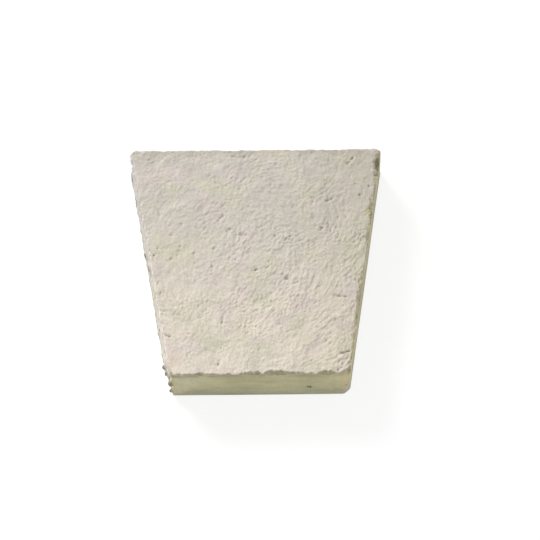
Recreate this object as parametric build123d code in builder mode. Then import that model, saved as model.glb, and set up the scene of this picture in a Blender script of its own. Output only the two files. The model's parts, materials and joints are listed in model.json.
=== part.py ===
"""Manufactured stone keystone: one block of cast concrete, the wedge at the crown of an arch.

The block lies on its flat back with the dressed face up. The origin is the middle of the
back, +Z points out of the face and +Y points to the wide end, the upper one in a wall.
Lengths are in millimetres and angles in degrees.
"""

import os
from math import ceil, cos, pi, radians, sin, tan

from build123d import *

# Size of the dressed face, measured to the sharp corners before they are eased
face_top_width = 254.0
face_bottom_width = 178.0
face_height = 241.0

# Depth from the back to the level that the swells of the face stay under
thickness = 57.0

# The walls open towards the back, so that the casting leaves its mould face down
draft_angle = 2.0

# Rounding of the four upright corners, taken at the face
corner_radius = 4.0

# Worn edge round the face, and the struck edge round the back
face_arris_radius = 2.5
back_edge_chamfer = 1.0

# The dressed face swells and dips, alike on both sides of the middle: how deep, and for each of
# its waves the length across the face, the length along it and the angle that it starts at
swell_depth = 1.6
swell_waves = [
    (98.0, 118.0, 20.0),
    (61.0, 73.0, 150.0),
    (46.0, 53.0, 260.0),
    (31.0, 36.0, 75.0),
]

# Spacing of the points that carry the dressed face, and how far it runs past the block all round
swell_step = 8.0
swell_margin = 8.0

# How far the draft spreads each wall between the face and the back
draft_spread = thickness * tan(radians(draft_angle))

# Counter-clockwise, so that the outline's normal is +Z
face_corners = [
    (-face_bottom_width / 2, -face_height / 2),
    (face_bottom_width / 2, -face_height / 2),
    (face_top_width / 2, face_height / 2),
    (-face_top_width / 2, face_height / 2),
]


def swell(x, y):
    """Height of the dressed face at a point of its plan, from the level that it stays under.

    Each wave counts by its length, so that the long ones are high and the short ones low.
    """
    waves = [
        across * cos(2 * pi * x / across) * sin(2 * pi * y / along + radians(start))
        for across, along, start in swell_waves
    ]
    lengths = [across for across, along, start in swell_waves]
    return swell_depth / 2 * (sum(waves) / sum(lengths) - 1)


def stations(length):
    """Evenly spaced places along a length that is centred on 0, about one swell step apart."""
    count = ceil(length / swell_step)
    return [length * (place / count - 0.5) for place in range(count + 1)]


with BuildPart() as keystone:
    # The back is the face's tapered outline, grown by the draft
    with BuildSketch(Plane.XY) as back_outline:
        with BuildLine():
            Polyline(*face_corners, close=True)
        make_face()
        offset(amount=draft_spread, kind=Kind.INTERSECTION)
        fillet(back_outline.vertices(), radius=corner_radius + draft_spread)
    extrude(amount=thickness + swell_depth, taper=draft_angle)

    # The dressed face is one smooth surface, which trims the block
    dressed_surface = Face.make_surface_from_array_of_points([
        [Vector(x, y, thickness + swell(x, y)) for y in stations(face_height + 2 * swell_margin)]
        for x in stations(face_top_width + 2 * swell_margin)
    ])
    split(bisect_by=dressed_surface, keep=Keep.BOTTOM)

    dressed_face = keystone.faces().sort_by(Axis.Z)[-1]
    fillet(dressed_face.edges(), radius=face_arris_radius)

    bedding_face = keystone.faces().sort_by(Axis.Z)[0]
    chamfer(bedding_face.edges(), length=back_edge_chamfer)

keystone.part.label = "keystone"

os.makedirs("parts", exist_ok=True)
export_step(keystone.part, "parts/keystone.step")

print("keystone volume, litres:", round(keystone.part.volume / 1e6, 3))
print("keystone box, mm:", keystone.part.bounding_box().size)
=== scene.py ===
"""Looks of a manufactured stone keystone: the cast block with its tooled face, the floor, light and camera.

The block lies on its back. The origin is the middle of the back, +Z points out of the tooled face
and +Y to the wide end, the upper one in a wall. Lengths are in metres, and those whose names end
in mm are in millimetres.
"""

import json
import math
import random

import bmesh
import bpy
from mathutils import Matrix, Vector, noise
from mathutils.bvhtree import BVHTree
from mathutils.kdtree import KDTree


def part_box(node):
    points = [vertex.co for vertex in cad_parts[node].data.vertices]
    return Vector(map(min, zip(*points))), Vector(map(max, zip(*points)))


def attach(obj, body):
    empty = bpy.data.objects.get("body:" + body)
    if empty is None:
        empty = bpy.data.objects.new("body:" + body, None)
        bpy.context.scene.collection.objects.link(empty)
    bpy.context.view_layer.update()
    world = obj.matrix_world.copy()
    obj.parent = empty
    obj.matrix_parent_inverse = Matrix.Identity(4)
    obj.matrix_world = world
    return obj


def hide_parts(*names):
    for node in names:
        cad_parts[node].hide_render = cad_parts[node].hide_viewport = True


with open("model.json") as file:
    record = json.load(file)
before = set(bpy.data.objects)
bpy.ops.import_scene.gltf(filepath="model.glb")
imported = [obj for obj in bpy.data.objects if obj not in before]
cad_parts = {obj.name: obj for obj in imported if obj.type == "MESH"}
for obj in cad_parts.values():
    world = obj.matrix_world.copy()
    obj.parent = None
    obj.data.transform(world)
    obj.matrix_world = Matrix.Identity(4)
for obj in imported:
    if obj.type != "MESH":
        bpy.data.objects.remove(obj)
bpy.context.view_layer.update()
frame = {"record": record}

MM = 0.001

# The block's own planes, read from the frame
mounts = {mount["name"]: mount for mount in frame["record"]["mounts"]}
flank_point = Vector(mounts["right_flank"]["pos_m"])
flank_normal = Vector(mounts["right_flank"]["axis"])
block_low, block_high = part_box("keystone")
face_level = 2 * flank_point.z
draft_slope = flank_normal.z / math.hypot(flank_normal.x, flank_normal.y)
flank_lean = math.hypot(flank_normal.x, flank_normal.y) / flank_normal.x

# Edges of the casting, the corners' rounding taken at the face. The right one at the narrow end is
# worn round at the back, and the wall of that end leans back below the face, from a level upwards
CORNER_RADIUS = 4 * MM
WORN_CORNER_RADIUS = 6 * MM
BACK_CHAMFER = 1 * MM
LEAN_BACK = 1.5 * MM
LEAN_FROM = 20 * MM

# Swells of the dressed face, as the solid has them: their depth, and for each wave its length across
# the face, its length along it and the angle that it starts at
SWELL_DEPTH_MM = 1.6
SWELL_WAVES_MM = [(98.0, 118.0, 20.0), (61.0, 73.0, 150.0), (46.0, 53.0, 260.0), (31.0, 36.0, 75.0)]

# The photograph's view of the block, lying face up with its narrow end nearest
PHOTO_SIDE = 540
VIEW_AZIMUTH = -3.5
VIEW_ELEVATION = 68.9
VIEW_ROLL = 2.73
VIEW_DISTANCE = 3.0
VIEW_AIM = Vector((12.25, 0.74, 28.5)) * MM
LENS_MM = 198.6
SENSOR_MM = 36.0
LENS_IN_PIXELS = LENS_MM / SENSOR_MM * PHOTO_SIDE


def view_turn():
    """The camera's turn: its own Z points back from the block, and its Y is up in the picture."""
    azimuth = math.radians(VIEW_AZIMUTH)
    elevation = math.radians(VIEW_ELEVATION)
    back = Vector((
        math.sin(azimuth) * math.cos(elevation),
        -math.cos(azimuth) * math.cos(elevation),
        math.sin(elevation),
    ))
    roll = Matrix.Rotation(math.radians(VIEW_ROLL), 3, "Z")
    return back.to_track_quat("Z", "Y").to_matrix() @ roll


camera_turn = view_turn()
camera_place = VIEW_AIM + camera_turn @ Vector((0, 0, VIEW_DISTANCE))


def make_camera():
    lens = bpy.data.cameras.new("photo_camera")
    lens.lens = LENS_MM
    lens.sensor_width = SENSOR_MM
    lens.clip_end = 50
    camera = bpy.data.objects.new("photo_camera", lens)
    camera.matrix_world = Matrix.Translation(camera_place) @ camera_turn.to_4x4()
    bpy.context.scene.collection.objects.link(camera)
    bpy.context.scene.camera = camera


def at_pixel(column, row, level=face_level):
    """The point that shows at this pixel of the photograph, at a level above the back."""
    ray = camera_turn @ Vector((
        (column - PHOTO_SIDE / 2) / LENS_IN_PIXELS,
        (PHOTO_SIDE / 2 - row) / LENS_IN_PIXELS,
        -1,
    ))
    return camera_place + ray * ((level - camera_place.z) / ray.z)


# Plan of the block

def smooth_step(low, high, value):
    """0 below low, 1 above high, and an eased rise between them."""
    share = min(max((value - low) / (high - low), 0.0), 1.0)
    return share * share * (3 - 2 * share)


def half_width(y, z):
    """Half the width between the flanks, at a place along the height and a level above the back."""
    lean = flank_normal.y * (y - flank_point.y) + flank_normal.z * (z - flank_point.z)
    return flank_point.x - lean / flank_normal.x


def half_height(z):
    """Half the distance between the two end walls, at a level above the back."""
    return block_high.y - (z - BACK_CHAMFER) * draft_slope


def end_reach(along, z):
    """Distance from the middle to the end wall on that side of it, at a level above the back."""
    lean = LEAN_BACK * smooth_step(LEAN_FROM, face_level, z) if along < 0 else 0.0
    return half_height(z) - lean


def corner_radius(across, along, z):
    """Rounding of the corner nearest to a place on the plan, at a level above the back."""
    radius = CORNER_RADIUS + (face_level - z) * draft_slope
    if across > 0 > along:
        radius += (WORN_CORNER_RADIUS - CORNER_RADIUS) * (1 - z / face_level)
    return radius


def plan_point(across, along, z, inset=0.0):
    """A point of the plan at level z. across and along run from -1 to 1, and the corners are rounded."""
    reach = end_reach(along, z) - inset
    radius = corner_radius(across, along, z) - inset
    y = along * reach
    width = half_width(y, z) - inset * flank_lean
    end_gap = reach - abs(y)
    side_gap = (1 - abs(across)) * width
    if end_gap < radius and side_gap < radius:
        to_end = 1 - end_gap / radius
        to_side = 1 - side_gap / radius
        ring = max(to_end, to_side)
        turn = math.atan2(to_end, to_side)
        end_gap = radius * (1 - ring * math.sin(turn))
        side_gap = radius * (1 - ring * math.cos(turn))
        y = math.copysign(reach - end_gap, along)
        width = half_width(y, z) - inset * flank_lean
    return Vector((math.copysign(width - side_gap, across), y, z))


def swell_mm(place):
    """Height of the dressed face at a point of its plan, in mm from the level that it stays under."""
    x, y = place.x / MM, place.y / MM
    waves = sum(
        across * math.cos(math.tau * x / across) * math.sin(math.tau * y / along + math.radians(start))
        for across, along, start in SWELL_WAVES_MM
    )
    return SWELL_DEPTH_MM / 2 * (waves / sum(wave[0] for wave in SWELL_WAVES_MM) - 1)


# How fine the casting's mesh is
FACE_COLUMNS = 232
FACE_ROWS = 228
WALL_ROWS = 30
WALL_GRADING = 1.45
SEAM_GAP = 0.05 * MM

# The tooled face: heights and lengths of its relief
FACE_SINK_MM = 1.0
LUMP_MM = 0.52
LUMP_LENGTH_MM = 12.0
DAB_MM = 0.36
DAB_LENGTH_MM = 5.6
STROKE_MM = 0.55
STROKE_LENGTH_MM = 3.2
STROKE_WIDTH_MM = 1.9
STROKE_ANGLE = 52.0
STROKE_SWAY = 26.0
STROKE_SWAY_LENGTH_MM = 40.0
PEBBLE_MM = 0.41
PEBBLE_LENGTH_MM = 2.3
RISE_GAIN = 1.28

# Strokes and pebbles are stronger in patches: mean, spread and least of their gain, and how long the
# patches are, in mm. The strokes are also weaker by the left edge, and stronger across the middle
STROKE_PATCHES = (0.82, 0.9, 0.3, 22.0)
PEBBLE_PATCHES = (1.0, 0.9, 0.4, 16.0)
LEFT_STROKES = 0.6
MIDDLE_STROKES = 0.40

# Relief of the mould faces and of the struck back
WALL_BOW_MM = 0.25
WALL_BOW_LENGTH_MM = 48.0
WALL_RIPPLE_MM = 0.05
BACK_DRAG_MM = 0.45
BACK_LUMP_MM = 0.55

# Pits in the face: pixel of the photograph, width and depth
PITS = [
    (287, 278, 4.0, 3.4), (205, 229, 2.6, 1.1), (182, 224, 2.4, 1.3), (215, 183, 2.6, 1.4),
    (209, 176, 2.4, 1.1), (154, 256, 3.0, 2.6), (194, 254, 2.4, 1.1), (218, 251, 2.6, 1.2),
    (252, 182, 2.4, 1.3), (161, 190, 2.2, 1.1), (149, 160, 2.4, 1.2), (313, 218, 2.6, 1.2),
    (322, 228, 2.8, 1.6), (316, 226, 2.4, 1.2), (275, 236, 2.6, 1.4), (290, 237, 2.6, 1.4),
    (300, 240, 2.4, 1.2), (277, 251, 2.6, 1.6), (272, 228, 2.2, 1.1), (345, 261, 2.6, 1.2),
    (369, 186, 3.0, 1.7), (360, 195, 2.6, 1.4), (320, 286, 2.8, 0.8), (344, 330, 2.4, 1.4),
    (280, 324, 2.4, 1.2), (296, 328, 2.4, 1.2), (335, 320, 2.4, 1.1), (189, 334, 2.6, 1.2),
    (201, 318, 2.4, 1.1), (221, 348, 2.6, 1.4), (160, 289, 2.4, 1.2), (148, 250, 2.6, 1.3),
    (158, 248, 2.2, 1.0), (171, 259, 2.6, 1.6), (180, 247, 2.6, 1.4), (164, 292, 2.2, 1.2),
    (170, 276, 2.4, 1.1), (269, 261, 2.2, 1.2), (145, 156, 2.2, 0.9), (139, 160, 2.2, 1.0),
    (141, 175, 2.4, 1.0), (167, 192, 2.2, 0.9), (159, 210, 2.4, 0.9), (346, 217, 2.6, 1.2),
    (355, 184, 2.2, 0.9),
]

# Scores in the face: pixels of both ends, width and depth
SCORES = [
    (353, 158, 347, 164, 2.2, 1.5), (223, 215, 215, 224, 2.2, 1.0), (230, 229, 226, 232, 2.2, 1.2),
    (332, 199, 326, 201, 2.2, 1.4), (232, 157, 245, 157, 2.2, 1.1), (334, 295, 346, 297, 2.2, 1.5),
    (341, 353, 350, 351, 2.4, 1.9), (165, 335, 171, 337, 2.4, 2.0), (223, 317, 222, 323, 2.4, 1.4),
    (219, 361, 218, 365, 2.4, 1.1), (213, 265, 212, 270, 2.4, 1.3), (160, 289, 161, 293, 2.2, 1.2),
    (338, 363, 341, 359, 2.0, 1.1), (349, 355, 348, 358, 2.2, 1.1), (338, 370, 341, 368, 2.2, 1.3),
    (344, 363, 345, 361, 1.8, 0.9), (162, 311, 167, 311, 2.0, 1.1), (162, 315, 168, 316, 2.0, 1.0),
    (236, 235, 246, 235, 2.2, 0.9), (259, 228, 262, 226, 2.0, 1.0), (253, 271, 257, 269, 2.0, 1.2),
    (266, 268, 269, 266, 2.0, 1.0), (294, 283, 298, 282, 2.0, 1.0),
]

# Grains that stand out of the face, most of them near its broken corner: pixel, width and height
STANDING_GRAINS = [
    (344, 356, 4.4, 1.6), (341, 364, 3.2, 1.0), (347, 363, 3.0, 0.9), (349, 366, 3.6, 1.3),
    (345, 367, 3.0, 0.8), (350, 361, 2.8, 0.8), (233, 368, 4.0, 0.6), (287, 283, 3.0, 1.0),
]

# The face is rougher by that corner: pixel, reach in mm and how much rougher
RUGGED_PLACE = (345, 362)
RUGGED_REACH_MM = 14.0
RUGGED_GAIN = 1.1

# Small pits by chance, and how far the pits' and scores' outlines stray, both from a seed so that
# they are the same each time. Each fades out at so many of its half widths
PIT_SEED = 4
SMALL_PITS = 250
PIT_WOBBLE_MM = 0.9
PIT_FADE = 1.6

# Broken edges of the face: pixel along the edge, and how far the face has broken back, in mm.
# The right edge is worn round. The lower one has chipped, into a short cliff and a rough ledge
RIGHT_EDGE_COLUMN = 365
RIGHT_EDGE_ROWS = [
    (150, 4.0), (158, 6.4), (165, 6.6), (173, 6.6), (181, 4.4), (190, 3.6), (202, 5.0), (209, 8.4),
    (215, 5.0), (222, 3.0), (235, 3.6), (239, 4.4), (244, 2.6), (252, 1.6), (268, 2.4), (280, 5.4),
    (292, 5.0), (305, 4.9), (317, 4.3), (330, 3.5), (342, 3.6), (353, 2.9), (364, 3.3), (374, 3.6),
]
LOWER_EDGE_ROW = 374
LOWER_EDGE_COLUMNS = [
    (165, 2.0), (172, 1.0), (178, 2.0), (183, 0.8), (196, 0.6), (200, 2.0), (205, 0.6), (213, 1.2),
    (220, 0.5), (240, 0.8), (246, 1.6), (249, 2.8), (253, 1.9), (258, 2.4), (262, 0.9), (268, 2.4),
    (273, 4.6), (277, 3.6), (281, 4.6), (286, 1.8), (300, 1.2), (320, 1.4), (324, 3.4), (329, 3.0),
    (334, 1.0), (342, 1.4), (347, 4.0), (352, 5.0),
]
CLIFF_MM = 2.0
CLIFF_REACH_MM = 1.0
LEDGE_SLOPE = 0.9
LEDGE_ROUGH_MM = 0.8
WORN_SLOPE = 0.95
WORN_SHOULDER_MM = 2.0
LOWER_EDGE_RAGGED_MM = 1.1

# How dark the painted shade on a chip's cliff is, and the share of a break's look and of that
# painted shade that each row of the wall's mesh takes over from the row above it
CHIP_SHADE = 0.5
BREAK_FADE = 0.55
SHADE_FADE = 0.5

# Wear of the face's edges: on the left, and on the other three, in mm
LEFT_WEAR_MM = 1.7
EDGE_WEAR_MM = 0.8
EDGE_WEAR_SPREAD = 0.6

# Corners knocked off: side, end and whether it is a corner of the face, then how far the break
# reaches along the end, along the flank and into the depth, in mm, and what its surface is like
CORNER_BREAKS = [
    (1, -1, True, 6.0, 6.0, 7.0, "broken"),
    (1, -1, False, 6.0, 6.0, 14.0, None),
    (-1, -1, True, 5.0, 9.0, 10.0, "dressed"),
    (-1, -1, False, 4.5, 40.0, 75.0, "dressed"),
    (-1, 1, True, 4.5, 4.5, 60.0, "dressed"),
    (1, 1, True, 6.0, 2.5, 20.0, "dressed"),
]

# The tooled layer ends in a ragged lip over the end walls and the right flank, and runs on down the
# left one, which is torn in streaks. A surface counts as a flank as its normal leans to the side
LIP_DEPTH_MM = 1.6
LIP_RAGGED_MM = 0.9
LIP_PROUD_MM = 0.25
LIP_WANDER_MM = 0.7
FLANK_LEAN = (0.55, 0.9)
FLANK_RELIEF = 0.6
FLANK_SINK_MM = 0.8
TORN_MM = 1.0
TORN_WIDTH_MM = 4.5
TORN_LENGTH_MM = 26.0
WALL_SINK_MM = 0.35

# The dressing has flaked off the left flank's narrow corner: how far up, along and into it, in mm
FLAKE_UP_MM = 52.0
FLAKE_ALONG_MM = 19.0
FLAKE_DEPTH_MM = 0.8

# Bug hole in the narrow end's wall, by its pixel in the photograph, and those of the walls that don't
# show there, by their place across and along the block from -1 to 1. Then for each of them the level
# above the back, and the width, height and depth in mm
SEEN_BUG_HOLE = (309, 387, 21.0, 4.2, 6.0, 3.0)
OTHER_BUG_HOLES = [
    (1, 0.42, 33.0, 3.4, 3.8, 2.2), (1, -0.16, 13.0, 2.8, 3.0, 1.8), (1, -0.52, 40.0, 2.8, 3.0, 1.8),
    (-0.44, 1, 37.0, 3.6, 4.0, 2.4), (0.21, 1, 16.0, 2.8, 3.0, 1.8), (0.68, 1, 43.0, 2.6, 2.8, 1.6),
]

# Marks of the left flank: a bulge at its upper corner, and burrs and nicks with painted shade at its
# foot and down its lower corner. Pixel of the photograph, level, reach and height in mm. They are ragged,
# and they run down the wall, so their depth counts by a share. None acts past its fade, in shares of its
# reach
MARK_SHARE_OF_DEPTH = 0.42
MARK_RAGGED = 0.45
MARK_FADE = 1.5
EDGE_MARKS = [
    (128, 158, 50.0, 9.0, 2.2), (132, 179, 2.0, 3.6, 1.2), (136, 202, 2.0, 3.6, 1.0),
    (138, 211, 2.0, 3.0, -1.0), (145, 255, 2.0, 3.4, 1.2), (149, 269, 2.0, 3.2, 1.6),
    (150, 276, 2.0, 4.2, -2.6), (159, 331, 2.0, 3.4, 0.7), (163, 349, 2.0, 4.6, -2.6),
    (164, 368, 2.0, 3.2, 2.8), (167, 373, 8.0, 3.0, 3.2), (170, 374, 55.0, 2.6, 0.3),
    (169, 379, 41.0, 4.0, -2.4), (169, 383, 32.0, 3.4, 4.4), (170, 387, 22.0, 4.0, -4.0),
    (169, 391, 10.0, 3.2, 4.0),
]

# How dark the painted shade is on burrs and in nicks, which all reach less far than a bulge, how dark
# the painted shade and grime are under the lip, where they also vary by a spread, and how dark the grime
# is along the rim of the wide end and round the flake
BULGE_REACH_MM = 6.0
BURR_PAINTED_SHADE = 1.25
NICK_PAINTED_SHADE = 0.45
UNDER_LIP_SHADE_AND_GRIME = 0.46
UNDER_LIP_SPREAD = 0.25
UPPER_RIM_GRIME = 0.55
FLAKE_RIM_GRIME = 0.8


def between(points, place):
    """The value at a place, on straight lines between the points."""
    if place <= points[0][0]:
        return points[0][1]
    for (start, low), (end, high) in zip(points, points[1:]):
        if place <= end:
            return low + (high - low) * (place - start) / (end - start)
    return points[-1][1]


def field(place, length, seed):
    """Smooth noise from about -1 to 1, whose lumps are about that length across."""
    return noise.noise(place / length + Vector((1.7, 2.9, -3.1)) * seed)


# The tables' places, taken from the photograph to the block
rugged_place = at_pixel(*RUGGED_PLACE) / MM
right_edge_breaks = sorted(
    (at_pixel(RIGHT_EDGE_COLUMN, row).y, broken) for row, broken in RIGHT_EDGE_ROWS
)
lower_edge_breaks = [
    (at_pixel(column, LOWER_EDGE_ROW).x, broken) for column, broken in LOWER_EDGE_COLUMNS
]


def lower_chip_mm(place):
    """How far the face's lower edge has chipped back at a place along it, in mm."""
    place_mm = Vector((place.x / MM, 0.0, 0.0))
    nibbled = LOWER_EDGE_RAGGED_MM * (field(place_mm, 4.0, 17) + 0.5 * field(place_mm, 11.0, 18))
    return max(0.0, between(lower_edge_breaks, place.x) + nibbled)


def broken_back(place):
    """At a point of the face's plan: the height lost in mm, whether it is a fresh break, and its shade."""
    place_mm = place / MM
    width = half_width(place.y, face_level)
    ragged = max(0.3, 1 + 0.4 * field(place_mm, 5.0, 1) + 0.3 * field(place_mm, 1.8, 2))
    uneven = max(0.2, 1 + EDGE_WEAR_SPREAD * (field(place_mm, 7.0, 3) + field(place_mm, 2.8, 25)))
    edges = [
        (width + place.x, LEFT_WEAR_MM, 0.0),
        (end_reach(1, face_level) - place.y, EDGE_WEAR_MM, 0.0),
        (end_reach(-1, face_level) + place.y, EDGE_WEAR_MM, lower_chip_mm(place)),
        (width - place.x, EDGE_WEAR_MM, 0.0),
    ]
    drop = 0.0
    fresh = 0.0
    shade = 0.0
    for gap, wear, chip in edges:
        worn_off = 1 - gap / MM / (wear * uneven)
        if worn_off > 0:
            drop = max(drop, wear * uneven * worn_off ** 2)
        past = chip * ragged - gap / MM
        if past > 0:
            size = min(1.0, chip / 3)
            cliff = CLIFF_MM * size * smooth_step(0.0, CLIFF_REACH_MM, past)
            rough = LEDGE_ROUGH_MM * field(place_mm, 2.8, 14) * smooth_step(0.0, 1.5, past)
            drop = max(drop, cliff + LEDGE_SLOPE * past + rough)
            fresh = max(fresh, smooth_step(0.1, 1.0, past))
            shade = max(shade, size * smooth_step(0.0, 0.7, past) * (1 - smooth_step(0.9, 2.4, past)))
    worn = between(right_edge_breaks, place.y) * ragged - (width - place.x) / MM
    if worn > 0:
        drop = max(drop, WORN_SLOPE * worn ** 2 / (worn + WORN_SHOULDER_MM))
        blotch = 1.6 * field(place_mm, 3.4, 19)
        fresh = max(fresh, smooth_step(0.0, 3.0, worn + blotch))
    return drop, fresh, shade


def patch_gain(place, patches, seed):
    """A gain that varies in patches over the face, at a place in mm."""
    mean, spread, least, length = patches
    return max(least, mean + spread * field(place, length, seed))


def tooled_relief(place):
    """Height of the tooled face above its own level and depth of its creases, in mm, at a place in mm."""
    lump = LUMP_MM * field(place, LUMP_LENGTH_MM, 4) + DAB_MM * field(place, DAB_LENGTH_MM, 16)
    angle = math.radians(STROKE_ANGLE + STROKE_SWAY * field(place, STROKE_SWAY_LENGTH_MM, 5))
    along = place.x * math.cos(angle) + place.y * math.sin(angle)
    across = place.y * math.cos(angle) - place.x * math.sin(angle)
    stroke_place = Vector((along / STROKE_LENGTH_MM, across / STROKE_WIDTH_MM, place.z / 9))
    patchy = patch_gain(place, STROKE_PATCHES, 6)
    to_right = LEFT_STROKES + (1 - LEFT_STROKES) * smooth_step(-80.0, 0.0, place.x)
    to_middle = 1 + MIDDLE_STROKES * (1 - smooth_step(35.0, 95.0, abs(place.y)))
    grain = STROKE_MM * patchy * to_right * to_middle * noise.noise(stroke_place)
    rugged = 1 - smooth_step(5.0, RUGGED_REACH_MM, (place - rugged_place).to_2d().length)
    pebbly = patch_gain(place, PEBBLE_PATCHES, 7) + RUGGED_GAIN * rugged
    grain += PEBBLE_MM * pebbly * field(place, PEBBLE_LENGTH_MM, 8)
    if grain > 0:
        grain *= RISE_GAIN
    return lump + grain, max(0.0, -grain)


def wall_relief(place):
    """Height of a smooth mould face above its own level, in mm, at a place in mm."""
    bow = WALL_BOW_MM * field(place, WALL_BOW_LENGTH_MM, 9)
    ripple = WALL_RIPPLE_MM * noise.noise(Vector((place.x / 40, place.y / 40, place.z / 2.6)))
    return bow + ripple


def back_relief(place):
    """How far the struck back is hollowed, in mm, at a place in mm. It never stands proud."""
    drag = 0.5 + 0.5 * noise.noise(Vector((place.x / 50, place.y / 5.0, 1.7)))
    lumps = 0.5 + 0.5 * noise.fractal(place / 11 + Vector((5.0, 2.0, 1.0)), 1.0, 2.0, 3)
    return BACK_DRAG_MM * drag + BACK_LUMP_MM * lumps


# What the mesh knows of each vertex, for the relief and for the colours
SURFACE_MARKS = ("depth_mm", "broken", "hollow", "dressed", "bedding", "shade_and_grime", "flank")


def open_edges(bm):
    return [edge for edge in bm.edges if edge.is_boundary]


def cast_block():
    """The block's mesh: the face as a grid, the walls drawn down from its rim, and the back let in."""
    bm = bmesh.new()
    mark = {name: bm.verts.layers.float.new(name) for name in SURFACE_MARKS}
    column_of = bm.verts.layers.int.new("column")

    # The tooled face, with its worn and broken edges
    bmesh.ops.create_grid(bm, x_segments=FACE_COLUMNS, y_segments=FACE_ROWS, size=1.0)
    rim = []
    for vert in bm.verts:
        across, along = vert.co.x, vert.co.y
        place = plan_point(across, along, face_level)
        drop, fresh, shade = broken_back(place)
        place.z += (swell_mm(place) - drop) * MM
        vert.co = place
        vert[mark["broken"]] = fresh
        # Painted shade on a chip's cliff
        vert[mark["shade_and_grime"]] = CHIP_SHADE * shade
        if vert.is_boundary:
            vert[column_of] = len(rim)
            rim.append((across, along, place.z))

    # The walls, row by row down to the back
    ring = open_edges(bm)
    levels = [(row / WALL_ROWS) ** WALL_GRADING for row in range(1, WALL_ROWS + 1)]
    for level in levels + [None]:
        made = bmesh.ops.extrude_edge_only(bm, edges=ring)["geom"]
        ring = [item for item in made if isinstance(item, bmesh.types.BMEdge)]
        for vert in [item for item in made if isinstance(item, bmesh.types.BMVert)]:
            across, along, top = rim[vert[column_of]]
            if level is None:
                vert.co = plan_point(across, along, 0.0, BACK_CHAMFER)
            else:
                vert.co = plan_point(across, along, top + (BACK_CHAMFER - top) * level)
            vert[mark["depth_mm"]] = (top - vert.co.z) / MM
            vert[mark["broken"]] *= BREAK_FADE
            vert[mark["shade_and_grime"]] *= SHADE_FADE

    # The back, half as fine, let in to the last row of the walls
    back = bmesh.ops.create_grid(
        bm, x_segments=FACE_COLUMNS // 2, y_segments=FACE_ROWS // 2, size=1.0
    )["verts"]
    for vert in back:
        vert[mark["bedding"]] = 1.0
    back_rim = [edge for edge in open_edges(bm) if edge.verts[0][mark["bedding"]] > 0.5]
    bmesh.ops.subdivide_edges(bm, edges=back_rim, cuts=1)
    back = [vert for vert in bm.verts if vert[mark["bedding"]] > 0.5]
    for vert in back:
        vert.co = plan_point(vert.co.x, vert.co.y, 0.0, BACK_CHAMFER)
    seam = [vert for vert in bm.verts if vert.is_boundary]
    bmesh.ops.remove_doubles(bm, verts=seam, dist=SEAM_GAP)
    bm.verts.layers.int.remove(bm.verts.layers.int["column"])
    bmesh.ops.recalc_face_normals(bm, faces=bm.faces)
    return bm


def break_plane(side, end, of_face, along_end, along_flank, deep):
    """A point of the plane that a corner broke along, and the plane's outward normal."""
    level = face_level if of_face else 0.0
    deep_level = face_level - deep * MM if of_face else deep * MM

    def edge_point(y, z):
        return Vector((side * half_width(y, z), y, z))

    corner = edge_point(end * end_reach(end, level), level)
    on_end = corner - Vector((side * along_end * MM, 0, 0))
    on_flank = edge_point(corner.y - end * along_flank * MM, level)
    down_edge = edge_point(end * end_reach(end, deep_level), deep_level)
    normal = (on_flank - on_end).cross(down_edge - on_end).normalized()
    if normal.dot(corner - on_end) < 0:
        normal.negate()
    return on_end, normal


def knock_corners(bm):
    """Takes the broken corners off the block."""
    for *corner, surface in CORNER_BREAKS:
        on_plane, normal = break_plane(*corner)
        for vert in bm.verts:
            over = normal.dot(vert.co - on_plane)
            if over > 0:
                vert.co -= normal * over
                if surface:
                    layer = bm.verts.layers.float[surface]
                    vert[layer] = max(vert[layer], smooth_step(0.0, 1.2 * MM, over))
    return bm


def bore_bug_holes(bm):
    """Sinks the bug holes into the walls."""
    column, row, level, *size = SEEN_BUG_HOLE
    hole = at_pixel(column, row, level * MM)
    hole.y = -end_reach(-1, level * MM)
    bore_bug_hole(bm, hole, Vector((0, 1, 0)), *size)
    for across, along, level, *size in OTHER_BUG_HOLES:
        hole = plan_point(across, along, level * MM)
        inward = Vector((-1, 0, 0)) if across == 1 else Vector((0, -1, 0))
        bore_bug_hole(bm, hole, inward, *size)
    return bm


def bore_bug_hole(bm, hole, inward, width, height, depth):
    """Sinks one bug hole into a wall, on a finer patch of mesh, with painted shade in it."""
    half_size = Vector((width, width, height)) * MM / 2

    def gap(vert):
        off = vert.co - hole
        return Vector(off[axis] / half_size[axis] for axis in range(3)).length

    near = [edge for edge in bm.edges if all(gap(vert) < 2.5 for vert in edge.verts)]
    bmesh.ops.subdivide_edges(bm, edges=near, cuts=3, use_grid_fill=True)
    shade_and_grime = bm.verts.layers.float["shade_and_grime"]
    for vert in bm.verts:
        sunk = 1 - smooth_step(0.5, 1.1, gap(vert))
        if sunk > 0:
            vert.co += inward * depth * MM * sunk
            # Painted shade in the hole
            vert[shade_and_grime] = sunk


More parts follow.
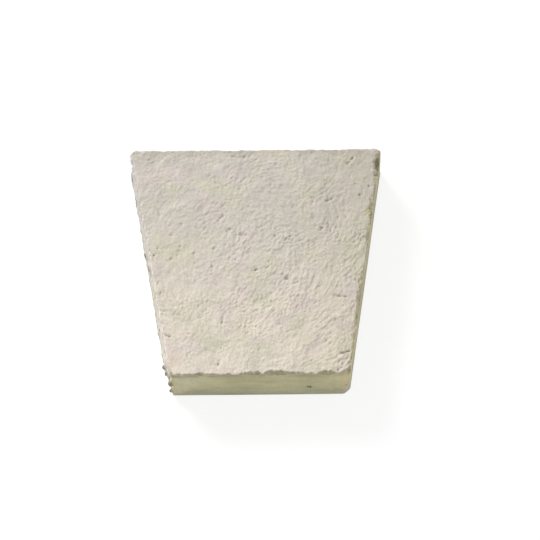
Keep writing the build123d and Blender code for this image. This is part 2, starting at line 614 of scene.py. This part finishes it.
def dress_block(bm):
    """Works the relief of each surface into the block's mesh, along its own normals."""
    mark = {name: bm.verts.layers.float[name] for name in SURFACE_MARKS}
    pressed = pressed_marks(bm)
    shape = BVHTree.FromBMesh(bm)
    edge_marks = [
        (on_surface(shape, column, row, level * MM), reach * MM, push)
        for column, row, level, reach, push in EDGE_MARKS
    ]
    bm.normal_update()
    normals = [vert.normal.copy() for vert in bm.verts]
    for vert, normal in zip(bm.verts, normals):
        place = vert.co / MM
        if vert[mark["bedding"]] > 0.5:
            inside = smooth_step(0.0, 6.0, edge_gap_mm(vert.co))
            vert.co.z += back_relief(place) * inside * MM
            continue

        level_place = Vector((place.x, place.y, 0.0))
        depth = vert[mark["depth_mm"]]
        fresh = vert[mark["broken"]]
        on_left = smooth_step(*FLANK_LEAN, -normal.x)
        on_right = smooth_step(*FLANK_LEAN, normal.x)
        on_flank = max(on_left, on_right)
        lip_lost = lost_lip(vert.co, normal) if depth > 0 else 0.0
        flake_edge = flake_reach(vert.co, normal)

        # How far the surface is tooled, torn or broken, and not smooth from the mould
        lip = LIP_DEPTH_MM + LIP_RAGGED_MM * field(level_place, 5.0, 10)
        tooled = (1 - smooth_step(lip - 0.6, lip + 0.6, depth)) * (1 - lip_lost)
        rough_wall = max(on_left, FLANK_RELIEF * on_right) * smooth_step(0.0, 4.0, place.z)
        flaked = 1 - smooth_step(0.85, 1.1, flake_edge)
        rough = max(tooled, fresh, vert[mark["dressed"]], rough_wall) * (1 - flaked)

        # Relief of both kinds of surface, the lip, the torn streaks and the flake
        sinking = pressed.get(vert.index, 0.0)
        height, crease = tooled_relief(place)
        relief = rough * (height - FACE_SINK_MM * normal.z - FLANK_SINK_MM * on_flank - sinking)
        relief += (1 - rough) * (wall_relief(place) - WALL_SINK_MM) * smooth_step(-3.0, 3.0, place.z)
        wander = field(level_place, 20.0, 11) + 0.6 * field(level_place, 6.0, 12)
        relief += (LIP_PROUD_MM + LIP_WANDER_MM * wander) * tooled * (1 - normal.z) * (1 - fresh)
        streak_place = Vector((place.y / TORN_WIDTH_MM, place.z / TORN_LENGTH_MM, 3.3))
        relief += TORN_MM * on_left * (1 - flaked) * noise.noise(streak_place)
        relief -= FLAKE_DEPTH_MM * flaked * smooth_step(0.0, 3.0, place.z)

        # Painted shade and grime under the lip, and grime along the rim of the wide end and round the flake
        sheltered = UNDER_LIP_SHADE_AND_GRIME + UNDER_LIP_SPREAD * field(level_place, 9.0, 13)
        under_lip = smooth_step(0.2, 1.0, depth) * (1 - smooth_step(5.0, 14.0, depth))
        under_lip *= (1 - on_flank) * (1 - 0.5 * lip_lost) * sheltered
        upper_rim = smooth_step(0.3, 0.8, normal.y) * smooth_step(-0.2, 0.5, field(level_place, 9.0, 15))
        upper_rim *= 1 - smooth_step(2.0, 7.0, depth)
        flake_rim = (1 - smooth_step(0.05, 0.2, abs(flake_edge - 1))) * smooth_step(0.2, 0.6, -normal.x)
        flake_rim *= smooth_step(-0.2, 0.3, field(place, 3.2, 24))
        shade_and_grime = max(under_lip, UPPER_RIM_GRIME * upper_rim, FLAKE_RIM_GRIME * flake_rim)

        mark_shade = push_marks(vert, normal, edge_marks)
        vert.co += normal * relief * MM
        vert.co = Vector(min(max(vert.co[axis], block_low[axis]), block_high[axis]) for axis in range(3))
        vert[mark["dressed"]] = rough
        # Depth of pits, scores and creases, which the colour darkens as painted shade
        vert[mark["hollow"]] = rough * max(sinking, crease)
        vert[mark["shade_and_grime"]] = max(vert[mark["shade_and_grime"]], mark_shade, shade_and_grime)
        vert[mark["flank"]] = normal.x
    return bm


def push_marks(vert, normal, edge_marks):
    """Pushes a vertex out or in by the left flank's marks near it, and gives the painted shade on them."""
    place = vert.co / MM
    outward = Vector((normal.x, normal.y, 0.0))
    ragged = MARK_RAGGED * (field(place, 2.6, 20) + 0.5 * field(place, 1.2, 21))
    shade_and_grime = 0.0
    for middle, reach, push in edge_marks:
        off = vert.co - middle
        off.z *= MARK_SHARE_OF_DEPTH
        if off.length > MARK_FADE * reach:
            continue
        near = 1 - smooth_step(0.25, 1.0, off.length / reach + ragged)
        vert.co += outward * push * near * MM
        if reach < BULGE_REACH_MM * MM:
            shade_and_grime = max(shade_and_grime, (BURR_PAINTED_SHADE if push > 0 else NICK_PAINTED_SHADE) * near)
    return shade_and_grime


def flake_reach(place, normal):
    """Distance from the left flank's narrow foot as a share of the flake's reach, with a ragged edge."""
    if normal.x > -0.4:
        return 2.0
    along = (place.y + end_reach(-1, place.z)) / MM
    ragged = 0.22 * field(place / MM, 6.0, 22) + 0.16 * field(place / MM, 2.4, 23)
    return place.z / MM / FLAKE_UP_MM + along / FLAKE_ALONG_MM + ragged


def lost_lip(place, normal):
    """1 on a wall where the lip above it has broken off or worn away, and 0 where it still stands."""
    if normal.y < -0.7:
        return smooth_step(1.2, 2.4, lower_chip_mm(place))
    if normal.x > 0.7:
        return smooth_step(1.5, 3.0, between(right_edge_breaks, place.y))
    return 0.0


def on_surface(shape, column, row, level):
    """The point of the block at this pixel of the photograph, or else the nearest one to it at a level."""
    guess = at_pixel(column, row, level)
    hit = shape.ray_cast(camera_place, (guess - camera_place).normalized())[0]
    if hit is None:
        hit = shape.find_nearest(guess)[0]
    return hit


def edge_gap_mm(place):
    """Distance from a point of the back to the nearest edge of the block, in mm."""
    gaps = (half_width(place.y, 0.0) - abs(place.x), half_height(0.0) - abs(place.y))
    return min(gaps) / MM


def pressed_marks(bm):
    """How deep each vertex of the face lies in a pit or a score, in mm, by vertex number."""
    bm.verts.index_update()
    tree = KDTree(len(bm.verts))
    for vert in bm.verts:
        tree.insert(vert.co, vert.index)
    tree.balance()

    marks = [(column, row, column, row, width, depth) for column, row, width, depth in PITS]
    marks += [(column, row, column, row, width, -height) for column, row, width, height in STANDING_GRAINS]
    marks += SCORES
    pressed = {}
    noise.seed_set(PIT_SEED)
    tooled_level = face_level - (FACE_SINK_MM + SWELL_DEPTH_MM / 2) * MM
    for column, row, end_column, end_row, width, depth in marks:
        start = at_pixel(column, row, tooled_level)
        end = at_pixel(end_column, end_row, tooled_level)
        press(tree, pressed, start, end, width * MM, depth)

    chance = random.Random(PIT_SEED)
    for _ in range(SMALL_PITS):
        across = chance.uniform(-0.98, 0.98)
        along = chance.uniform(-0.98, 0.98)
        start = plan_point(across, along, face_level)
        start.z = tooled_level
        angle = math.radians(STROKE_ANGLE + chance.uniform(-30, 30))
        stretch = chance.uniform(0.0, 2.6) * MM
        end = start + stretch * Vector((math.cos(angle), math.sin(angle), 0))
        press(tree, pressed, start, end, chance.uniform(1.5, 2.5) * MM, chance.uniform(0.3, 0.8))
    return pressed


def press(tree, pressed, start, end, width, depth):
    """Adds one pit or score, as a groove of that width from start to end, measured on the plan."""
    middle = (start + end) / 2
    length = (end - start).length
    for place, index, _ in tree.find_range(middle, length / 2 + width + SWELL_DEPTH_MM * MM):
        share = 0.0
        wobble = noise.noise_vector(place / (2.6 * MM)) * PIT_WOBBLE_MM * MM
        if length > 0:
            share = min(max((place - start).dot(end - start) / length ** 2, 0.0), 1.0)
        off = place + wobble - start.lerp(end, share)
        gap = off.to_2d().length / (width / 2)
        if gap < PIT_FADE:
            uneven = 0.8 + 0.8 * noise.noise(place / (2.2 * MM))
            sinking = depth * uneven * (1 - smooth_step(0.0, PIT_FADE, gap))
            if abs(sinking) > abs(pressed.get(index, 0.0)):
                pressed[index] = sinking


# Material nodes

def add_node(tree, kind, **settings):
    node = tree.nodes.new(kind)
    for name, value in settings.items():
        setattr(node, name, value)
    return node


def feed(tree, socket, value):
    """Links a socket to another one, or sets it to a plain number or colour."""
    if isinstance(value, bpy.types.NodeSocket):
        tree.links.new(value, socket)
    elif socket.type == "RGBA":
        socket.default_value = (*value, 1.0)
    else:
        socket.default_value = value


def noise_at(tree, place, scale, detail=2.0, roughness=0.5):
    """A noise field of so many cells a metre."""
    node = add_node(tree, "ShaderNodeTexNoise")
    tree.links.new(place, node.inputs["Vector"])
    node.inputs["Scale"].default_value = scale
    node.inputs["Detail"].default_value = detail
    node.inputs["Roughness"].default_value = roughness
    return node.outputs["Fac"]


def moved(tree, place, shift=(0, 0, 0), stretch=(1, 1, 1)):
    """The same coordinates, shifted and stretched."""
    node = add_node(tree, "ShaderNodeMapping")
    tree.links.new(place, node.inputs["Vector"])
    node.inputs["Location"].default_value = shift
    node.inputs["Scale"].default_value = stretch
    return node.outputs["Vector"]


def eased(tree, value, low, high, start=0.0, end=1.0):
    """Maps a value from low..high to start..end, smoothly."""
    node = add_node(tree, "ShaderNodeMapRange", interpolation_type="SMOOTHSTEP")
    tree.links.new(value, node.inputs["Value"])
    node.inputs["From Min"].default_value = low
    node.inputs["From Max"].default_value = high
    node.inputs["To Min"].default_value = start
    node.inputs["To Max"].default_value = end
    return node.outputs["Result"]


def blended(tree, share, first, second, blend="MIX"):
    """Mixes two colours, each a socket or a plain colour."""
    node = add_node(tree, "ShaderNodeMix", data_type="RGBA", blend_type=blend)
    first_socket, second_socket = [socket for socket in node.inputs if socket.type == "RGBA"]
    feed(tree, node.inputs[0], share)
    feed(tree, first_socket, first)
    feed(tree, second_socket, second)
    return [socket for socket in node.outputs if socket.type == "RGBA"][0]


def tinted(tree, share, colour, tint):
    """A colour, multiplied by a tint as far as the share says."""
    return blended(tree, share, colour, blended(tree, 1.0, colour, tint, "MULTIPLY"))


def shaded(tree, colour, brightness):
    """A colour, multiplied by a brightness."""
    return blended(tree, 1.0, colour, grey_of(tree, brightness), "MULTIPLY")


def maths(tree, operation, first, second):
    node = add_node(tree, "ShaderNodeMath", operation=operation)
    feed(tree, node.inputs[0], first)
    feed(tree, node.inputs[1], second)
    return node.outputs[0]


def attribute(tree, name):
    return add_node(tree, "ShaderNodeAttribute", attribute_name=name).outputs["Fac"]


def grey_of(tree, value):
    """A grey of that brightness."""
    node = add_node(tree, "ShaderNodeCombineColor")
    for socket in node.inputs:
        tree.links.new(value, socket)
    return node.outputs["Color"]


def patch(tree, place, centre, reach):
    """1 at a place on the block and 0 past its reach, with a ragged edge."""
    off = add_node(tree, "ShaderNodeVectorMath", operation="SUBTRACT")
    tree.links.new(place, off.inputs[0])
    off.inputs[1].default_value = centre
    share = add_node(tree, "ShaderNodeVectorMath", operation="DIVIDE")
    tree.links.new(off.outputs["Vector"], share.inputs[0])
    share.inputs[1].default_value = reach
    length = add_node(tree, "ShaderNodeVectorMath", operation="LENGTH")
    tree.links.new(share.outputs["Vector"], length.inputs[0])
    ragged = eased(tree, noise_at(tree, place, 120, 3), 0.3, 0.7, -0.25, 0.25)
    return eased(tree, maths(tree, "ADD", length.outputs["Value"], ragged), 0.25, 1.1, 1.0, 0.0)


# Colours of the cast stone
# FACE_UPPER and FACE_LOWER make a painted light gradient: darker at the wide end, lighter at the narrow one
FACE_UPPER = (0.568, 0.531, 0.472)
FACE_LOWER = (0.767, 0.694, 0.587)
FACE_RIM = (0.88, 0.87, 0.85)
FACE_SHADY = (0.940, 0.940, 0.900)
FACE_LILAC = (0.660, 0.575, 0.535)
FACE_STRAW = (0.615, 0.592, 0.455)
# Painted light on the left flank, lighter and bluer
LEFT_FLANK_PAINTED_LIGHT = (1.08, 1.105, 1.155)
# Painted shade in creases and pits
CREASE_PAINTED_SHADE = (0.36, 0.32, 0.235)
WALL_OLIVE = (0.622, 0.580, 0.341)
WALL_GREY = (0.520, 0.507, 0.341)
# A grey foot, partly grime and partly painted shade by the floor
WALL_FOOT_GRIME_AND_SHADE = (0.465, 0.466, 0.331)
# Painted light on the right flank, which lies in the lamp's shade
RIGHT_FLANK_PAINTED_LIGHT = (1.33, 1.30, 1.38)
# Painted shade on the wide end's wall, where the lamp lights it most
WIDE_END_PAINTED_SHADE = (0.86, 0.87, 0.93)
BREAK_OLIVE = (0.72, 0.655, 0.43)
BREAK_TAN = (0.78, 0.64, 0.42)
CHIP_OLIVE = (0.49, 0.46, 0.28)
# Painted shade under the lip, in chips, bug holes and the left flank's marks, and grime under the lip, by
# the wide end's rim and round the flake
SHADE_AND_GRIME_BROWN = (0.23, 0.205, 0.125)
# Near black painted shade on the left flank's burrs
BURR_PAINTED_SHADE_GREY = (0.13, 0.125, 0.105)

# How far these cover what lies under them, at most
LILAC_COVER = 0.62
STRAW_COVER = 0.6
STREAK_COVER = 0.6
FOOT_GRIME_AND_SHADE_COVER = 0.9
BREAK_COVER = 0.85
CREASE_COVER = 0.8
SHADE_AND_GRIME_COVER = 0.82
BURR_PAINTED_SHADE_COVER = 0.8

# Darkest and brightest of the speckles and clouds that the colours are multiplied by
FACE_SPECKLE = (0.91, 1.07)
WALL_SPECKLE = (0.93, 1.06)
WALL_CLOUD = (0.86, 1.10)
BREAK_CLOUD = (0.70, 1.18)

# Roughness and strength of the sand grain, on a mould face and on a dressed one. Then the height of
# that grain, in mm, and the stone's shine
ROUGHNESS = (0.78, 0.95)
GRAIN_STRENGTH = (0.12, 0.8)
GRAIN_MM = 0.4
SHINE = 0.25

# Stains and other patches of colour: pixel of the photograph, level, reach in mm, colour and strength
STAINS = [
    (345, 381, 30.0, (8, 10, 24), (0.78, 0.62, 0.37), 0.95),
    (347, 388, 12.0, (5, 8, 9), (0.68, 0.62, 0.53), 0.8),
    (346, 384, 24.0, (2.2, 8, 5), (0.40, 0.33, 0.20), 0.9),
    (378, 165, 50.0, (4, 12, 30), (0.27, 0.235, 0.15), 0.95),
    (349, 371, 52.0, (3.5, 5, 10), (0.40, 0.34, 0.22), 0.7),
    # The next three make the narrow end's wall lighter towards its two ends
    (182, 387, 20.0, (26, 8, 16), (0.70, 0.62, 0.42), 0.75),
    (186, 381, 38.0, (24, 8, 14), (0.71, 0.655, 0.48), 0.8),
    (328, 384, 28.0, (20, 8, 26), (0.68, 0.64, 0.385), 0.55),
    (171, 361, 57.0, (16, 16, 8), (0.72, 0.60, 0.50), 0.5),
    (175, 250, 57.0, (36, 26, 8), (0.64, 0.60, 0.46), 0.4),
    (236, 175, 57.0, (26, 24, 8), (0.62, 0.58, 0.54), 0.4),
    (290, 165, 57.0, (40, 16, 8), (0.62, 0.58, 0.54), 0.35),
    (352, 288, 57.0, (14, 22, 8), (0.64, 0.57, 0.54), 0.4),
]


def face_colour(tree, place, axes):
    """Cream with a painted light gradient, greyer towards the wide end and warmer towards the narrow one,
    painted shade to the right, speckled by its sand.
    """
    # Painted light: darker and greyer towards the wide end, lighter and warmer towards the narrow one
    upper = eased(tree, axes["Y"], block_low.y, block_high.y - 20 * MM)
    face = blended(tree, upper, FACE_LOWER, FACE_UPPER)
    lilac = eased(tree, noise_at(tree, place, 38, 3), 0.46, 0.66, 0.0, LILAC_COVER)
    face = blended(tree, lilac, face, FACE_LILAC)
    straw_place = moved(tree, place, (0.31, 0.17, 0.05))
    straw = eased(tree, noise_at(tree, straw_place, 30, 3), 0.48, 0.68, 0.0, STRAW_COVER)
    face = blended(tree, straw, face, FACE_STRAW)
    shady = eased(tree, axes["X"], 0.0, block_high.x)
    face = tinted(tree, shady, face, FACE_SHADY)
    rim = eased(tree, axes["Y"], block_high.y - 13 * MM, block_high.y - 3 * MM)
    rim = maths(tree, "MULTIPLY", rim, eased(tree, noise_at(tree, place, 70, 3), 0.35, 0.6))
    face = tinted(tree, rim, face, FACE_RIM)
    speckle = eased(tree, noise_at(tree, place, 620, 3, 0.6), 0.30, 0.70, *FACE_SPECKLE)
    return shaded(tree, face, speckle)


def wall_colour(tree, place, axes):
    """Olive where the mould was, with level streaks, a grey foot of grime and painted shade, and painted
    shade by the wide end.
    """
    streak_place = moved(tree, place, stretch=(0.08, 0.08, 1.0))
    streak = eased(tree, noise_at(tree, streak_place, 210, 4), 0.38, 0.66, 0.0, STREAK_COVER)
    wall = blended(tree, streak, WALL_OLIVE, WALL_GREY)
    # Grey foot: grime and painted shade near the floor
    foot_grime_and_shade = eased(tree, axes["Z"], 0.0, 30 * MM, FOOT_GRIME_AND_SHADE_COVER, 0.0)
    wall = blended(tree, foot_grime_and_shade, wall, WALL_FOOT_GRIME_AND_SHADE)
    # Painted shade along the wide end
    wide_end_shade = eased(tree, axes["Y"], block_high.y - 7 * MM, block_high.y - 3 * MM)
    wall = tinted(tree, wide_end_shade, wall, WIDE_END_PAINTED_SHADE)
    cloud_place = moved(tree, place, stretch=(0.4, 0.4, 1.0))
    cloud = eased(tree, noise_at(tree, cloud_place, 60, 4), 0.3, 0.7, *WALL_CLOUD)
    wall = shaded(tree, wall, cloud)
    speckle = eased(tree, noise_at(tree, place, 480, 3, 0.65), 0.30, 0.70, *WALL_SPECKLE)
    return shaded(tree, wall, speckle)


def break_colour(tree, place, axes):
    """Olive where the right edge wore, tan towards its narrow end, and darker in the lower edge's chips."""
    chipped = eased(tree, axes["X"], 76 * MM, 84 * MM, 1.0, 0.0)
    fresh = blended(tree, chipped, BREAK_OLIVE, CHIP_OLIVE)
    tan = eased(tree, axes["Y"], -30 * MM, 20 * MM, 1.0, 0.0)
    freckle = eased(tree, noise_at(tree, place, 160, 3), 0.40, 0.62)
    tan = maths(tree, "MULTIPLY", maths(tree, "SUBTRACT", tan, chipped), freckle)
    fresh = blended(tree, tan, fresh, BREAK_TAN)
    cloud_place = moved(tree, place, (0.2, 0.6, 0.1))
    cloud = eased(tree, noise_at(tree, cloud_place, 190, 3), 0.3, 0.7, *BREAK_CLOUD)
    return shaded(tree, fresh, cloud)


def cast_stone():
    """Cream cast concrete, tooled on the face and smooth and olive where the mould was."""
    material = bpy.data.materials.new("cast_stone")
    material.use_nodes = True
    tree = material.node_tree
    shader = tree.nodes["Principled BSDF"]
    place = add_node(tree, "ShaderNodeTexCoord").outputs["Object"]
    split = add_node(tree, "ShaderNodeSeparateXYZ")
    tree.links.new(place, split.inputs[0])
    axes = split.outputs
    rough = attribute(tree, "dressed")

    # The face and the walls, by how far they are dressed, and painted light on the two flanks
    cream = eased(tree, rough, FLANK_RELIEF, 0.95)
    colour = blended(tree, cream, wall_colour(tree, place, axes), face_colour(tree, place, axes))
    ragged = maths(tree, "MULTIPLY", noise_at(tree, place, 240, 3), 0.5)
    leaning = maths(tree, "ADD", attribute(tree, "flank"), ragged)
    left_painted_light = eased(tree, leaning, -0.70, -0.35, 1.0, 0.0)
    left_painted_light = maths(tree, "MULTIPLY", left_painted_light, eased(tree, noise_at(tree, place, 48, 3), 0.38, 0.58, 0.3, 1.0))
    colour = tinted(tree, left_painted_light, colour, LEFT_FLANK_PAINTED_LIGHT)
    # Painted light on the right flank
    right_painted_light = eased(tree, leaning, 0.9, 1.1)
    colour = tinted(tree, right_painted_light, colour, RIGHT_FLANK_PAINTED_LIGHT)

    # Breaks and stains, then painted shade in the creases and pits, and painted shade and grime over them
    fresh = eased(tree, attribute(tree, "broken"), 0.1, 0.9, 0.0, BREAK_COVER)
    colour = blended(tree, fresh, colour, break_colour(tree, place, axes))
    mottle = eased(tree, noise_at(tree, place, 260, 3), 0.36, 0.60, 0.45, 1.0)
    for column, row, level_mm, reach_mm, tint, strength in STAINS:
        centre = at_pixel(column, row, level_mm * MM)
        share = maths(tree, "MULTIPLY", patch(tree, place, centre, Vector(reach_mm) * MM), mottle)
        colour = blended(tree, maths(tree, "MULTIPLY", share, strength), colour, tint)
    hollow = eased(tree, attribute(tree, "hollow"), 0.2, 1.5, 0.0, CREASE_COVER)
    colour = blended(tree, hollow, colour, CREASE_PAINTED_SHADE)
    # Painted shade and grime, from the mesh
    shade_and_grime = attribute(tree, "shade_and_grime")
    colour = blended(tree, eased(tree, shade_and_grime, 0.1, 1.0, 0.0, SHADE_AND_GRIME_COVER), colour, SHADE_AND_GRIME_BROWN)
    # Near black painted shade on the burrs
    burr_painted_shade = eased(tree, shade_and_grime, 1.0, BURR_PAINTED_SHADE, 0.0, BURR_PAINTED_SHADE_COVER)
    colour = blended(tree, burr_painted_shade, colour, BURR_PAINTED_SHADE_GREY)
    tree.links.new(colour, shader.inputs["Base Color"])
    tree.links.new(eased(tree, rough, 0.0, 1.0, *ROUGHNESS), shader.inputs["Roughness"])
    shader.inputs["Specular IOR Level"].default_value = SHINE

    # Sand grain too fine for the mesh
    grain = noise_at(tree, place, 800, 3, 0.6)
    bump = add_node(tree, "ShaderNodeBump")
    bump.inputs["Distance"].default_value = GRAIN_MM * MM
    tree.links.new(grain, bump.inputs["Height"])
    tree.links.new(eased(tree, rough, 0.0, 1.0, *GRAIN_STRENGTH), bump.inputs["Strength"])
    tree.links.new(bump.outputs["Normal"], shader.inputs["Normal"])
    return material


def make_keystone():
    bm = dress_block(bore_bug_holes(knock_corners(cast_block())))
    mesh = bpy.data.meshes.new("cast_keystone")
    bm.to_mesh(mesh)
    bm.free()
    mesh.shade_smooth()
    mesh.materials.append(cast_stone())
    keystone = bpy.data.objects.new("cast_keystone", mesh)
    bpy.context.scene.collection.objects.link(keystone)
    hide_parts("keystone")
    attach(keystone, "root")


# Studio
FLOOR_HALF_WIDTH = 6.0
FLOOR_PAINT = (0.80, 0.80, 0.80)
FLOOR_SEEN = (0.28, 0.28, 0.28)
FLOOR_LIFT = 0.80
WORLD_LIGHT = 0.46
KEY_WATTS = 72.0
KEY_SIDE = 1.2
KEY_PLACE = Vector((-1.40, 1.80, 1.55))
FILL_WATTS = 4.3
FILL_SIDE = 1.2
FILL_PLACE = Vector((0.3, -1.6, 0.75))


def seen_directly(tree):
    """1 for what the camera sees, also in a reflection or through glass."""
    ray = add_node(tree, "ShaderNodeLightPath").outputs
    seen = maths(tree, "MAXIMUM", ray["Is Camera Ray"], ray["Is Glossy Ray"])
    return maths(tree, "MAXIMUM", seen, ray["Is Transmission Ray"])


def make_floor():
    """A white floor that keeps the block's shadow and reads as white paper to the camera."""
    bm = bmesh.new()
    bmesh.ops.create_grid(bm, x_segments=1, y_segments=1, size=FLOOR_HALF_WIDTH)
    mesh = bpy.data.meshes.new("studio_floor")
    bm.to_mesh(mesh)
    bm.free()
    material = bpy.data.materials.new("white_paper")
    material.use_nodes = True
    tree = material.node_tree
    tree.nodes.remove(tree.nodes["Principled BSDF"])
    seen = seen_directly(tree)
    paper = add_node(tree, "ShaderNodeBsdfDiffuse")
    tree.links.new(blended(tree, seen, FLOOR_PAINT, FLOOR_SEEN), paper.inputs["Color"])
    glow = add_node(tree, "ShaderNodeEmission")
    tree.links.new(maths(tree, "MULTIPLY", seen, FLOOR_LIFT), glow.inputs["Strength"])
    both = add_node(tree, "ShaderNodeAddShader")
    tree.links.new(paper.outputs[0], both.inputs[0])
    tree.links.new(glow.outputs[0], both.inputs[1])
    tree.links.new(both.outputs[0], tree.nodes["Material Output"].inputs["Surface"])
    mesh.materials.append(material)
    floor = bpy.data.objects.new("studio_floor", mesh)
    bpy.context.scene.collection.objects.link(floor)


def hang_lamp(name, watts, side, place):
    """A square soft lamp that faces the block."""
    lamp = bpy.data.lights.new(name, "AREA")
    lamp.energy = watts
    lamp.size = side
    holder = bpy.data.objects.new(name, lamp)
    turn = place.to_track_quat("Z", "Y").to_matrix().to_4x4()
    holder.matrix_world = Matrix.Translation(place) @ turn
    bpy.context.scene.collection.objects.link(holder)


def make_light():
    """A soft lamp from beyond the upper left, a weak one from the front, and an even white world."""
    hang_lamp("key_lamp", KEY_WATTS, KEY_SIDE, KEY_PLACE)
    hang_lamp("fill_lamp", FILL_WATTS, FILL_SIDE, FILL_PLACE)
    world = bpy.data.worlds.new("white_studio")
    world.use_nodes = True
    bpy.context.scene.world = world
    tree = world.node_tree
    sky = tree.nodes["Background"]
    sky.inputs["Color"].default_value = (1.0, 1.0, 1.0, 1.0)
    strength = eased(tree, seen_directly(tree), 0.0, 1.0, WORLD_LIGHT, 1.0)
    tree.links.new(strength, sky.inputs["Strength"])


make_camera()
make_keystone()
make_floor()
make_light()
bpy.context.scene.view_settings.view_transform = "Standard"
